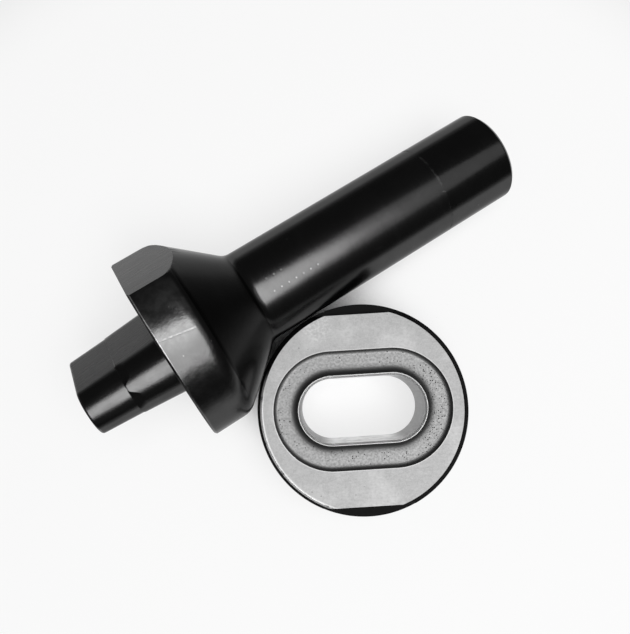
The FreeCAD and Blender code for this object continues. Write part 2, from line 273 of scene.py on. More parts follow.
def makeWearEffect():      # bright metal where an edge has been rubbed
    group, given, result = newEffect("edgeWear", {
        "Vector": None, "Radius": 0.0003, "Start": 0.02, "End": 0.1, "Scale": 0.3, "Cover": 0.5}, "Mask")
    rounded = addNode(group, "ShaderNodeBevel", {"Radius": given["Radius"]}, samples=6)
    sharp = addNode(group, "ShaderNodeNewGeometry")
    turn = addNode(group, "ShaderNodeVectorMath", {
        0: rounded.outputs["Normal"], 1: sharp.outputs["Normal"]}, operation="DOT_PRODUCT")
    bend = addMath(group, "SUBTRACT", 1.0, turn.outputs["Value"])
    edge = addRange(group, bend, given["Start"], given["End"])
    noise = addNode(group, "ShaderNodeTexNoise", {
        "Vector": given["Vector"], "Scale": given["Scale"], "Detail": 4.0, "Roughness": 0.7})
    limit = addMath(group, "SUBTRACT", 1.0, given["Cover"])
    patchy = addRange(group, noise.outputs["Fac"], limit, addMath(group, "ADD", limit, 0.15))
    group.links.new(addMath(group, "MULTIPLY", edge, patchy), result.inputs["Mask"])
    return group


def makeOvalEffect():      # distance from the straight line in the middle of the oval
    group, given, result = newEffect("ovalDistance", {"Vector": None, "Straight": 20.0}, "Distance")
    place = addNode(group, "ShaderNodeSeparateXYZ", {"Vector": given["Vector"]}).outputs
    past = addMath(group, "MAXIMUM", 0.0, addMath(
        group, "SUBTRACT", addMath(group, "ABSOLUTE", place["X"]),
        addMath(group, "MULTIPLY", given["Straight"], 0.5)))
    squares = addMath(group, "ADD", addMath(group, "MULTIPLY", past, past),
                      addMath(group, "MULTIPLY", place["Y"], place["Y"]))
    group.links.new(addMath(group, "SQRT", squares), result.inputs["Distance"])
    return group


def makeRowEffect():      # a row of punched dots, or a thin painted highlight streak, along a round bar
    group, given, result = newEffect("markRow", {
        "Vector": None, "Start": 0.0, "Pitch": 2.7, "Count": 7.0, "Angle": 0.0, "Lean": 0.0,
        "Radius": 16.0, "Size": 0.4}, "Mask")
    place = addNode(group, "ShaderNodeSeparateXYZ", {"Vector": given["Vector"]}).outputs
    turned = addMath(group, "SUBTRACT", addMath(group, "ARCTAN2", place["Y"], place["X"]), given["Angle"])
    risen = addMath(group, "SUBTRACT", place["Z"], given["Start"])
    across = addMath(group, "SUBTRACT", addMath(group, "MULTIPLY", turned, given["Radius"]),
                     addMath(group, "MULTIPLY", risen, given["Lean"]))
    along = addMath(group, "DIVIDE", risen, given["Pitch"])
    nearest = addMath(group, "MINIMUM", addMath(group, "SUBTRACT", given["Count"], 1.0),
                      addMath(group, "MAXIMUM", 0.0, addMath(group, "ROUND", along)))
    past = addMath(group, "MULTIPLY", addMath(group, "SUBTRACT", along, nearest), given["Pitch"])
    distance = addMath(group, "SQRT", addMath(group, "ADD", addMath(group, "MULTIPLY", past, past),
                                              addMath(group, "MULTIPLY", across, across)))
    dot = addRange(group, distance, given["Size"], addMath(group, "MULTIPLY", given["Size"], 0.5))
    group.links.new(dot, result.inputs["Mask"])
    return group


# Two small facets where an oval bar steps down, which widen from one angle of its rounded end

def makeFacetEffect():
    group, given, result = newEffect("cornerFacets", {
        "Vector": None, "End": 14.5, "Straight": 20.0, "Angle": 0.4, "Length": 3.0,
        "Slope": 0.5}, "Depth")
    place = addNode(group, "ShaderNodeSeparateXYZ", {"Vector": given["Vector"]}).outputs
    past = addMath(group, "SUBTRACT", addMath(group, "ABSOLUTE", place["X"]),
                   addMath(group, "MULTIPLY", given["Straight"], 0.5))
    away = addMath(group, "ABSOLUTE", addMath(
        group, "SUBTRACT", addMath(group, "ARCTAN2", place["Y"], past), given["Angle"]))
    length = addMath(group, "MULTIPLY", given["Length"], addRange(group, away, 0.02, 0.4))
    start = addMath(group, "SUBTRACT", given["End"], length)
    depth = addMath(group, "MULTIPLY", given["Slope"], addMath(
        group, "MAXIMUM", 0.0, addMath(group, "SUBTRACT", place["Z"], start)))
    onEnd = addMath(group, "MULTIPLY", addMath(group, "GREATER_THAN", past, 0.0), addRange(
        group, away, 1.2, 0.5))
    below = addMath(group, "LESS_THAN", place["Z"], given["End"])
    depth = addMath(group, "MULTIPLY", depth, addMath(group, "MULTIPLY", onEnd, below))
    group.links.new(depth, result.inputs["Depth"])
    return group


cloudPatches = makeCloudEffect()
scatteredSpots = makeSpotEffect()
toolMarks = makeToolMarkEffect()
edgeWear = makeWearEffect()
ovalDistance = makeOvalEffect()
markRow = makeRowEffect()
cornerFacets = makeFacetEffect()
print("shared surface effects built")


def newMaterial(name, place=None, **fixed):      # works in mm, in the frame of the given place
    material = bpy.data.materials.new(name)
    material.use_nodes = True
    tree = material.node_tree
    shader = tree.nodes["Principled BSDF"]
    for socket, value in fixed.items():
        shader.inputs[socket].default_value = value
    mapping = addNode(tree, "ShaderNodeMapping", {
        "Vector": addNode(tree, "ShaderNodeTexCoord").outputs["Object"],
        "Scale": (mm, mm, mm)}, vector_type="TEXTURE")
    if place:
        mapping.inputs["Location"].default_value = place.to_translation()
        mapping.inputs["Rotation"].default_value = place.to_euler()
    return material, tree, shader.inputs, mapping.outputs["Vector"]


def setBump(tree, sockets, height, depth):      # depth in mm
    bump = addNode(tree, "ShaderNodeBump", {"Height": height, "Distance": depth * mm})
    tree.links.new(bump.outputs["Normal"], sockets["Normal"])


def grey(level, warmth=0.0):
    return (level * (1 + warmth), level, level * (1 - warmth), 1)


def giveMaterial(piece, material, test):
    makeActive(piece)
    bpy.ops.object.material_slot_add()
    piece.material_slots[-1].material = material
    bpy.ops.object.mode_set(mode="EDIT")
    pickFaces(piece, test)
    piece.active_material_index = len(piece.material_slots) - 1
    bpy.ops.object.material_slot_assign()
    bpy.ops.object.mode_set(mode="OBJECT")


# Die

die = {
    "height": 27.0,
    "edgeChamfer": 1.5,
    "footChamfer": 0.6,
    "flatDistance": 31.5,        # from the axis to each alignment flat
    "flatDepth": 2.0,
    "straight": 20.0,            # straight part of every oval
    "holeWidth": 21.4,
    "lip": 0.6,
    "rimLand": 0.3,
    "rimDrop": 0.8,
    "grooveWidth": 8.0,
    "grooveDepth": 2.8,
    "outerRound": 1.5,
    "innerRound": 2.6,
    "softEdge": 0.18,
    "flatSoftness": 0.15,
    "boxMargin": 0.01,           # keeps the side just inside the solid's box
}
dieFinish = {
    "faceTone": 0.53,
    "faceRoughness": 0.74,
    "patchTone": 0.63,           # cloudy lighter patches on the ground face
    "grainTone": 0.36,
    "rubbedPlace": (-14.0, 28.0),          # a scuffed spot on the face
    "wornSide": (-0.85, -0.52, 0.0),       # where the edge of the face is rubbed bright
    "edgeTone": 0.95,            # rubbed places, and the line beside the groove
    "grooveTone": 0.36,
    "grooveRoughness": 0.6,
    "mottleTone": 0.22,
    "innerWallShadeTone": 0.09,       # painted shade, with some grime, in dark bands beside both walls of the groove
    "outerWallShadeTone": 0.13,
    "pitTone": 0.03,
    "rimTone": 0.4,              # narrow land round the hole, and the bevel inside it
    "lipTone": 0.95,
    "boreTone": 0.97,
    # painted shade at the round ends of the bore
    "boreEndShadeTone": 0.34,
    "boreCloudTone": 0.4,
    "boreRoughness": 0.5,
    "sideTone": 0.002,
    "sideRoughness": 0.5,
    "sideGloss": 0.06,
    "wornTone": 0.8,
}
dieLow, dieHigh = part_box("die")


def dieOutline():
    soft = die["softEdge"]
    radius = dieHigh.x / mm - die["boxMargin"]
    top = die["height"]
    hole = die["holeWidth"] / 2
    rim = hole + die["lip"] + die["rimLand"]
    rimTop = top - die["rimDrop"]
    floor = top - die["grooveDepth"]
    outer = rim + die["grooveWidth"]
    rimSine = (floor + die["innerRound"] - rimTop) / die["innerRound"]
    floorEnd = rim + die["innerRound"] * math.sqrt(1 - rimSine ** 2)
    rise = arcPoints(floorEnd, floor + die["innerRound"], die["innerRound"],
                     180 + math.degrees(math.asin(rimSine)), 270, 12)
    wall = arcPoints(outer - die["outerRound"], floor + die["outerRound"], die["outerRound"], -90, 0, 10)
    return softened([
        (hole + die["footChamfer"], 0, soft),
        (hole, die["footChamfer"], soft),
        (hole, rimTop - die["lip"], soft),
        (hole + die["lip"], rimTop, soft / 2),
        (rim, rimTop, soft / 2),
        *rise[1:],
        *wall,
        (outer, top, soft / 2),
        (radius - die["edgeChamfer"], top, soft),
        (radius, top - die["edgeChamfer"], soft),
        (radius, die["footChamfer"], soft),
        (radius - die["footChamfer"], 0, soft),
    ])


def cutFlats(piece):
    reach = die["flatDistance"] * 2
    for side in (1, -1):
        bpy.ops.object.select_all(action="DESELECT")
        bpy.ops.mesh.primitive_cube_add(size=1, location=(
            0, side * (die["flatDistance"] + reach / 2) * mm, die["height"] * mm))
        cutter = bpy.context.object
        cutter.scale = (2 * reach * mm, reach * mm, 2 * die["flatDepth"] * mm)
        bpy.ops.object.transform_apply(location=True, rotation=True, scale=True)
        applyModifier(piece, "BOOLEAN", "flat", operation="DIFFERENCE", object=cutter, solver="EXACT")
        bpy.data.objects.remove(cutter)


def onDieFlat(edge):      # the long straight edges of the two alignment flats
    ends = [vertex.co / mm for vertex in edge.verts]
    flat = all(abs(abs(end.y) - die["flatDistance"]) < 0.01 for end in ends)
    level = all(abs(end.z - die["height"]) < 0.01 for end in ends)
    return flat and level


def makeGroundFace():
    material, tree, sockets, place = newMaterial("groundFace", Metallic=1.0)
    marks = addEffect(tree, toolMarks, {"Vector": place, "Scale": (0.5, 2.5, 2.5), "Detail": 4.0})
    grain = addEffect(tree, cloudPatches, {
        "Vector": place, "Scale": 1.1, "Detail": 6.0, "Start": 0.38, "End": 0.72})
    patches = addEffect(tree, cloudPatches, {
        "Vector": place, "Scale": 0.06, "Detail": 5.0, "Start": 0.48, "End": 0.66})
    specks = addEffect(tree, scatteredSpots, {"Vector": place, "Scale": 0.7, "Size": 0.2, "Share": 0.1})
    speckle = addEffect(tree, cloudPatches, {
        "Vector": place, "Scale": 2.6, "Detail": 2.0, "Start": 0.4, "End": 0.65})
    rubbedSpot = addNode(tree, "ShaderNodeVectorMath", {
        0: place, 1: (*dieFinish["rubbedPlace"], die["height"])}, operation="DISTANCE").outputs["Value"]
    rubbed = addMath(tree, "MULTIPLY", addRange(tree, rubbedSpot, 8.0, 3.0), grain)
    distance = addEffect(tree, ovalDistance, {"Vector": place, "Straight": die["straight"]})
    outer = die["holeWidth"] / 2 + die["lip"] + die["rimLand"] + die["grooveWidth"]
    edge = addRange(tree, distance, outer + 0.45, outer + 0.15)
    tone = addMix(tree, patches, grey(dieFinish["faceTone"]), grey(dieFinish["patchTone"]))
    tone = addMix(tree, addMath(tree, "MULTIPLY", grain, 0.3), tone, grey(dieFinish["grainTone"]))
    tone = addMix(tree, addMath(tree, "MULTIPLY", speckle, 0.42), tone, grey(dieFinish["patchTone"]))
    towards = addNode(tree, "ShaderNodeVectorMath", {
        0: place, 1: dieFinish["wornSide"]}, operation="DOT_PRODUCT")
    radius = addEffect(tree, ovalDistance, {"Vector": place, "Straight": 0.0})
    faceRadius = dieHigh.x / mm - die["edgeChamfer"]
    outerEdge = addMath(tree, "MULTIPLY", addRange(tree, radius, faceRadius - 0.7, faceRadius - 0.4),
                        addRange(tree, towards.outputs["Value"], 20.0, 30.0))
    edge = addMath(tree, "MAXIMUM", addMath(tree, "MULTIPLY", outerEdge, 0.6),
                   addMath(tree, "MULTIPLY", edge, 0.5))
    tone = addMix(tree, addMath(tree, "MAXIMUM", addMath(tree, "MULTIPLY", rubbed, 0.42), edge),
                  tone, grey(dieFinish["edgeTone"]))
    tone = addMix(tree, addMath(tree, "MULTIPLY", specks, 0.6), tone, grey(dieFinish["grainTone"] / 2))
    tree.links.new(tone, sockets["Base Color"])
    rough = addMath(tree, "MULTIPLY_ADD", marks, 0.16, dieFinish["faceRoughness"] - 0.08)
    tree.links.new(rough, sockets["Roughness"])
    setBump(tree, sockets, marks, 0.012)
    return material


def makeRolledGroove():
    material, tree, sockets, place = newMaterial("rolledGroove", Metallic=1.0)
    rim = die["holeWidth"] / 2 + die["lip"] + die["rimLand"]
    distance = addEffect(tree, ovalDistance, {"Vector": place, "Straight": die["straight"]})
    across = addMath(tree, "SUBTRACT", distance, rim)
    # painted shade with some grime: darker bands down both walls of the groove
    innerShadeAndGrime = addRange(tree, across, 0.5, 3.9, 1.0, 0.0)
    outerShadeAndGrime = addRange(tree, across, die["grooveWidth"] - 1.3, die["grooveWidth"])
    mottle = addEffect(tree, cloudPatches, {
        "Vector": place, "Scale": 1.4, "Detail": 6.0, "Start": 0.35, "End": 0.7})
    x = addNode(tree, "ShaderNodeSeparateXYZ", {"Vector": place}).outputs["X"]
    rightEnd = addRange(tree, x, 15.0, 22.0)      # most pits lie there
    clusters = addEffect(tree, cloudPatches, {
        "Vector": place, "Scale": 0.16, "Detail": 2.0, "Start": 0.5, "End": 0.62})
    share = addMath(tree, "MAXIMUM", addMath(tree, "MULTIPLY", rightEnd, 0.9),
                    addMath(tree, "MULTIPLY_ADD", clusters, 0.4, 0.05))
    pits = addEffect(tree, scatteredSpots, {"Vector": place, "Scale": 1.5, "Size": 0.42, "Share": share})
    tone = addMix(tree, addMath(tree, "MULTIPLY", mottle, 0.28), grey(dieFinish["grooveTone"]),
                  grey(dieFinish["mottleTone"]))
    tone = addMix(tree, innerShadeAndGrime, tone, grey(dieFinish["innerWallShadeTone"]))
    tone = addMix(tree, outerShadeAndGrime, tone, grey(dieFinish["outerWallShadeTone"]))
    tone = addMix(tree, pits, tone, grey(dieFinish["pitTone"]))
    tree.links.new(tone, sockets["Base Color"])
    rough = addMath(tree, "MULTIPLY_ADD", mottle, 0.1, dieFinish["grooveRoughness"])
    tree.links.new(rough, sockets["Roughness"])
    height = addMath(tree, "SUBTRACT", addMath(tree, "MULTIPLY", mottle, 0.3), pits)
    setBump(tree, sockets, height, 0.05)
    return material


def makeBoreSteel():
    material, tree, sockets, place = newMaterial("boreSteel", Metallic=1.0)
    mottle = addEffect(tree, cloudPatches, {
        "Vector": place, "Scale": 0.22, "Detail": 5.0, "Start": 0.45, "End": 0.62})
    marks = addEffect(tree, toolMarks, {"Vector": place, "Scale": (1.8, 1.8, 0.15)})
    x, _, height = addNode(tree, "ShaderNodeSeparateXYZ", {"Vector": place}).outputs
    halfStraight = die["straight"] / 2
    # painted shade: the round ends of the bore are darker than its straight walls
    shadedEnd = addRange(tree, addMath(tree, "ABSOLUTE", x), halfStraight - 1, halfStraight + 5)
    tone = addMix(tree, shadedEnd, grey(dieFinish["boreTone"]), grey(dieFinish["boreEndShadeTone"]))
    tone = addMix(tree, addMath(tree, "MULTIPLY", mottle, 0.4), tone, grey(dieFinish["boreCloudTone"]))
    rimLow = die["height"] - die["rimDrop"] - die["lip"]
    onLip = addRange(tree, height, rimLow - 0.1, rimLow + 0.1)
    tone = addMix(tree, onLip, tone, grey(dieFinish["lipTone"]))
    onRim = addRange(tree, height, rimLow + die["lip"] - 0.1, rimLow + die["lip"])
    tone = addMix(tree, onRim, tone, grey(dieFinish["rimTone"]))
    tree.links.new(tone, sockets["Base Color"])
    rough = addMath(tree, "MULTIPLY_ADD", marks, 0.2, dieFinish["boreRoughness"] - 0.1)
    tree.links.new(rough, sockets["Roughness"])
    setBump(tree, sockets, marks, 0.01)
    return material


def makeBlackenedSide():
    material, tree, sockets, place = newMaterial("blackenedSide")
    sockets["Specular IOR Level"].default_value = dieFinish["sideGloss"]
    towards = addNode(tree, "ShaderNodeVectorMath", {
        0: place, 1: dieFinish["wornSide"]}, operation="DOT_PRODUCT")
    rubbed = addRange(tree, towards.outputs["Value"], 18.0, 30.0)
    height = addNode(tree, "ShaderNodeSeparateXYZ", {"Vector": place}).outputs["Z"]
    atTop = addRange(tree, height, die["height"] - 0.6, die["height"] - 0.4)
    patchy = addEffect(tree, cloudPatches, {
        "Vector": place, "Scale": 0.3, "Detail": 4.0, "Start": 0.3, "End": 0.5})
    worn = addMath(tree, "MULTIPLY", patchy, addMath(tree, "MULTIPLY", rubbed, atTop))
    mottle = addEffect(tree, cloudPatches, {
        "Vector": place, "Scale": 0.5, "Detail": 5.0, "Start": 0.35, "End": 0.7})
    tone = addMix(tree, mottle, grey(dieFinish["sideTone"]), grey(dieFinish["sideTone"] * 2))
    tone = addMix(tree, worn, tone, grey(dieFinish["wornTone"]))
    tree.links.new(tone, sockets["Base Color"])
    tree.links.new(worn, sockets["Metallic"])
    rough = addMath(tree, "MULTIPLY_ADD", mottle, 0.1, dieFinish["sideRoughness"])
    tree.links.new(rough, sockets["Roughness"])
    return material


def finishDie(piece):
    rim = die["holeWidth"] / 2 + die["lip"] + die["rimLand"]
    inGroove = rim + die["grooveWidth"] + 0.03
    fromOval = lambda place: math.hypot(max(abs(place.x) - die["straight"] / 2, 0), place.y)
    isFlat = lambda normal: abs(normal.z) > 0.999
    giveMaterial(piece, makeBlackenedSide(), lambda place, normal: True)
    giveMaterial(piece, makeGroundFace(), lambda place, normal: isFlat(normal) and (
        place.z > die["height"] - 0.05 or place.z < 0.05))
    giveMaterial(piece, makeRolledGroove(), lambda place, normal:
                 rim < fromOval(place) < inGroove and place.z > 2 * die["flatDepth"]
                 and not (isFlat(normal) and place.z > die["height"] - 0.05))
    giveMaterial(piece, makeBoreSteel(), lambda place, normal: fromOval(place) <= rim
                 or (fromOval(place) < rim + 0.02 and place.z > die["height"] - die["rimDrop"] - 0.1))


def makeDie():
    piece = spinOutline("grooved_die", dieOutline(), True)
    splitRadius = die["holeWidth"] / 2 + die["grooveWidth"] + 4
    stretchToOval(piece, die["straight"], lambda place: place.xy.length < splitRadius)
    cutFlats(piece)
    softenEdges(piece, die["flatSoftness"], onDieFlat)
    finishDie(piece)
    finishShape(piece)
    return piece


# Driver, made in its own frame: the collar's face at height 0 and the pilot upwards

driver = {
    "shankDiameter": 2 * mounts["shank"]["dims"]["r_mm"],
    "shankLength": 99.0,
    "endChamfer": 1.2,
    "chuckedLength": 27.0,       # the end that was turned in the second setting
    "chuckMark": 0.02,           # depth of the faint line where the two settings meet
    "neckSoftness": 1.8,
    "coneLength": 19.0,
    "collarDiameter": 64.0,
    "collarLength": 13.5,
    "collarBack": 2.6,           # softness of the edge between cone and collar
    "faceChamfer": 0.6,
    "flatDistance": 28.0,        # from the axis to each milled flat
    "straight": 20.0,
    "rootWidth": 20.4,           # the pilot's width at the collar, in the middle and at its end
    "waistWidth": 17.9,
    "noseWidth": 16.0,
    "rootLength": 14.5,
    "noseLength": 13.5,
    "shoulder": 0.45,            # length of the shoulder where the pilot's two stages meet
    "noseFlatness": 0.975,       # how much narrower the second stage is, at the sides only
    "noseEdge": 0.8,
    "arrisReach": 0.7,           # how far the flat's dull finish runs on round the pilot's ends
    "curlLand": 0.4,
    "curlRadius": 2.2,
    "curlDepth": 1.8,
    "roll": 144.9,               # turn about its own axis, in degrees
    "softEdge": 0.15,
    "flatSoftness": 0.15,
}
driverFinish = {
    "tone": 0.067,               # what the oxide reflects head on
    "edgeTint": 0.6,             # how much of its reflection stays at a grazing angle
    "dryShare": 1.12,            # where the oil has dried
    "roughness": 0.21,
    "chuckedRoughness": 0.17,
    # painted shade: the cone's steel is a darker copy of the turned steel
    "coneShadeTone": 0.021,
    "coneEdgeTint": 0.78,
    "coneRoughness": 0.22,
    "struckTone": 0.006,
    "refraction": 1.5,
    "collarHighlightPlace": (23.5, 21.5, -6.5),      # painted highlight on the collar, drawn as worn metal
    "collarHighlightReach": (14.0, 6.0),             # where it starts, and where it is full
    "collarHighlightShare": 0.125,
    "frontHighlightReach": (18.0, 9.0),        # the same for the painted highlight on the front edge beside it
    "wearShare": 0.5,            # share of worn-metal tone on a worn edge, and on a dot or painted highlight streak
    "markShare": 0.24,
    # tones of the ground, of the pilot's first stage (painted lighter, as reflection), of clouds and of
    # streaks
    "milledTones": (0.008, 0.014, 0.0144, 0.024),
    "pilotEndTones": (0.07, 0.07, 0.079, 0.079),
    "milledRoughness": 0.28,
    "plainGloss": 0.5,
    "flatGloss": 0.32,
    "pilotFlatGloss": 0.14,
    "pilotEndRoughness": 0.22,
    "facetSlope": 0.24,          # of the two small facets where the pilot's stages meet
    "facetLength": 3.0,
    "facetAngle": 27.0,
    "wornTone": 0.55,
    # lowest place, pitch, number, angle in degrees, lean, radius, size and strength of each row
    "marks": [
        (-54.9, 2.7, 7, 18.4, 0.0, 16.0, 0.42, 0.8),
        (-43.9, 2.7, 3, 34.3, 0.0, 16.0, 0.42, 0.6),
        (-104.3, 0.5, 2, 13.8, 0.6, 16.0, 0.32, 0.9),
        # painted highlight: a thin streak at the ragged edge of the shank's reflection
        (-76.6, 0.3, 9, -4.0, 0.1, 16.0, 0.24, 0.25),
        # painted highlight: a bright streak along the collar
        (-11.5, 0.3, 36, 27.5, 0.17, 32.0, 0.42, 0.9),
    ],
}


def driverOutline():
    soft = driver["softEdge"]
    shank = driver["shankDiameter"] / 2
    collar = driver["collarDiameter"] / 2
    coneBack = -driver["collarLength"] - driver["coneLength"]
    back = coneBack - driver["shankLength"]
    mark = back + driver["chuckedLength"]
    markDepth = driver["chuckMark"]
    root = driver["rootWidth"] / 2
    waist = driver["waistWidth"] / 2
    waistHeight = driver["rootLength"]
    end = waistHeight + driver["noseLength"]
    curlHeight = driver["curlRadius"] - driver["curlDepth"]
    curlSine = curlHeight / driver["curlRadius"]
    halfChord = driver["curlRadius"] * math.sqrt(1 - curlSine ** 2)
    curlMiddle = root + driver["curlLand"] + halfChord
    edgeTurn = math.degrees(math.asin(curlSine))
    curl = arcPoints(curlMiddle, curlHeight, driver["curlRadius"], -edgeTurn, -180 + edgeTurn, 16)
    rootSlope = (root - waist) / waistHeight
    cone = [(shank + (collar - shank) * i / 8, coneBack + driver["coneLength"] * i / 8, 0)
            for i in range(1, 8)]
    return softened([
        (0, back, 0),
        (shank * 0.5, back, 0),
        (shank - driver["endChamfer"], back, soft),
        (shank, back + driver["endChamfer"], 2 * soft),
        (shank, mark - 4 * markDepth, 0),
        (shank - markDepth, mark, 0),
        (shank, mark + 4 * markDepth, 0),
        (shank, coneBack, driver["neckSoftness"]),
        *cone,
        (collar, -driver["collarLength"], driver["collarBack"]),
        (collar, -driver["faceChamfer"], soft),
        (collar - driver["faceChamfer"], 0, soft),
        (curlMiddle + halfChord, 0, soft / 2),
        *curl[1:-1],
        (curlMiddle - halfChord, 0, soft / 2),
        (root, 0, soft),
        (waist + rootSlope * driver["shoulder"], waistHeight - driver["shoulder"], soft),
        (waist, waistHeight, soft),
        (driver["noseWidth"] / 2, end, driver["noseEdge"]),
        (driver["noseWidth"] / 2 - 2 * driver["noseEdge"], end, 0),
    ], steps=5)


def narrowNose(piece):
    bpy.ops.object.mode_set(mode="EDIT")
    pickVertices(piece, lambda place: place.z > driver["rootLength"] - driver["shoulder"] / 2)
    bpy.ops.transform.resize(value=(1, driver["noseFlatness"], 1), center_override=(0, 0, 0))
    bpy.ops.object.mode_set(mode="OBJECT")


def cutCollarFlats(piece):
    bpy.ops.object.mode_set(mode="EDIT")
    for side in (1, -1):
        bpy.ops.mesh.select_all(action="SELECT")
        bpy.ops.mesh.bisect(plane_co=(0, side * driver["flatDistance"] * mm, 0),
                            plane_no=(0, side, 0), use_fill=True, clear_outer=True)
    bpy.ops.object.mode_set(mode="OBJECT")


def closePilot(piece):
    end = driver["rootLength"] + driver["noseLength"]
    bpy.ops.object.mode_set(mode="EDIT")
    pickEdges(piece, lambda edge: edge.is_boundary and all(
        abs(vertex.co.z / mm - end) < 0.01 for vertex in edge.verts))
    bpy.ops.mesh.edge_face_add()
    bpy.ops.object.mode_set(mode="OBJECT")


def onCollarFlat(edge):      # every edge round the two milled flats
    flat = all(abs(abs(vertex.co.y / mm) - driver["flatDistance"]) < 0.01 for vertex in edge.verts)
    return flat and edge.calc_face_angle(0) > math.radians(15)


def driverPlace():
    towardsPilot = -Vector(mounts["struck_end"]["axis"]).normalized()
    length = driver["shankLength"] + driver["coneLength"] + driver["collarLength"]
    place = Vector(mounts["struck_end"]["pos_m"]) + towardsPilot * length * mm
    heading = math.atan2(towardsPilot.y, towardsPilot.x)
    tilt = math.asin(towardsPilot.z)
    return (Matrix.Translation(place) @ Matrix.Rotation(heading, 4, "Z")
            @ Matrix.Rotation(math.pi / 2 - tilt, 4, "Y")
            @ Matrix.Rotation(math.radians(driver["roll"]), 4, "Z"))


def makeTurnedSteel(name, reflected, edgeTint, roughness):
    material, tree, sockets, place = newMaterial(name, driverPlace())
    sockets["Specular Tint"].default_value = grey(edgeTint)
    length = driver["shankLength"] + driver["coneLength"] + driver["collarLength"]
    along = addNode(tree, "ShaderNodeSeparateXYZ", {"Vector": place}).outputs["Z"]
    ring = driver["chuckedLength"] - length
    ringEnds = (ring - 0.6, ring - 0.2, ring + 0.6, ring + 0.2)
    chucked = addRange(tree, along, ring, ring - 0.2)
    onCollar = addRange(tree, along, -driver["collarLength"] - 0.5, -driver["collarLength"] + 0.5)
    mottle = addEffect(tree, cloudPatches, {
        "Vector": place, "Scale": 0.16, "Detail": 6.0, "Start": 0.4, "End": 0.7})
    oil = addEffect(tree, cloudPatches, {
        "Vector": place, "Scale": 0.3, "Detail": 5.0, "Start": 0.3, "End": 0.7})
    rings = addEffect(tree, toolMarks, {"Vector": place, "Scale": (0.03, 0.03, 2.2), "Detail": 4.0})
    dust = addEffect(tree, scatteredSpots, {"Vector": place, "Scale": 0.3, "Size": 0.1, "Share": 0.12})
    worn = addEffect(tree, edgeWear, {
        "Vector": place, "Radius": 0.25 * mm, "Start": 0.01, "End": 0.06, "Scale": 0.12, "Cover": 0.52})
    # painted highlight: a bright line on the collar's front edge, strongest beside the painted highlight
    # on the collar
    frontHighlight = addMath(tree, "MULTIPLY", addRange(tree, along, -0.95, -0.65), addMath(
        tree, "MULTIPLY", addRange(tree, along, -0.35, -0.6), addRange(
            tree, addEffect(tree, ovalDistance, {"Vector": place, "Straight": 0.0}), 30.0, 31.0)))
    # painted highlight: a bright area on the collar, mottled by the oil pattern
    fromHighlight = addNode(tree, "ShaderNodeVectorMath", {
        0: place, 1: driverFinish["collarHighlightPlace"]}, operation="DISTANCE").outputs["Value"]
    collarHighlight = addMath(tree, "MULTIPLY", onCollar,
                    addRange(tree, fromHighlight, *driverFinish["collarHighlightReach"]))
    collarHighlight = addMath(tree, "MULTIPLY", collarHighlight, addMath(tree, "MULTIPLY_ADD", oil, 0.7, 0.5))
    frontHighlightFade = addRange(tree, fromHighlight, *driverFinish["frontHighlightReach"], 0.2, 1.0)
    frontHighlight = addMath(tree, "MULTIPLY", frontHighlight, frontHighlightFade)
    frontHighlight = addMath(tree, "MULTIPLY", frontHighlight, addMath(tree, "MULTIPLY_ADD", oil, 0.6, 0.4))
    tone = addMix(tree, mottle, grey(reflected), grey(reflected * driverFinish["dryShare"]))
    # dust, punched dots and painted highlight streaks
    marks = dust
    for start, pitch, count, angle, lean, radius, size, strength in driverFinish["marks"]:
        row = addEffect(tree, markRow, {
            "Vector": place, "Start": start, "Pitch": pitch, "Count": count,
            "Angle": math.radians(angle), "Lean": lean, "Radius": radius, "Size": size})
        marks = addMath(tree, "MAXIMUM", marks, addMath(tree, "MULTIPLY", row, strength))
    ragged = addEffect(tree, cloudPatches, {
        "Vector": place, "Scale": 1.3, "Detail": 3.0, "Start": 0.35, "End": 0.6})
    marks = addMath(tree, "MULTIPLY", marks, addMath(tree, "MULTIPLY_ADD", ragged, 0.6, 0.4))
    chuckRing = addMath(tree, "MULTIPLY", addRange(tree, along, *ringEnds[:2]),
                        addRange(tree, along, *ringEnds[2:]))
    # worn metal on rubbed edges and punched dots, plus the painted highlights on the collar
    wearAndHighlight = frontHighlight
    for mask, share in ((worn, "wearShare"), (marks, "markShare"), (collarHighlight, "collarHighlightShare")):
        wearAndHighlight = addMath(tree, "MAXIMUM", wearAndHighlight, addMath(tree, "MULTIPLY", mask, driverFinish[share]))
    # the worn-metal tone also draws the painted highlights
    tone = addMix(tree, wearAndHighlight, tone, grey(driverFinish["wornTone"]))
    tree.links.new(tone, sockets["Base Color"])
    tree.links.new(addMath(tree, "MULTIPLY_ADD", wearAndHighlight, -0.5, 1.0), sockets["Metallic"])
    rough = addMix(tree, chucked, roughness, driverFinish["chuckedRoughness"])
    rough = addMath(tree, "ADD", rough, addMath(tree, "MULTIPLY_ADD", rings, 0.08, -0.04))
    rough = addMath(tree, "ADD", rough, addMath(tree, "MULTIPLY", addMath(
        tree, "MULTIPLY", oil, onCollar), 0.05))
    rough = addMath(tree, "ADD", rough, addMath(tree, "MULTIPLY", addMath(
        tree, "MULTIPLY", mottle, chuckRing), 0.4))
    tree.links.new(rough, sockets["Roughness"])
    height = addMath(tree, "MULTIPLY", oil, addMath(tree, "MULTIPLY_ADD", onCollar, 0.45, 0.12))
    setBump(tree, sockets, addMath(tree, "SUBTRACT", height, addMath(tree, "MULTIPLY", marks, 0.5)), 0.05)
    return material


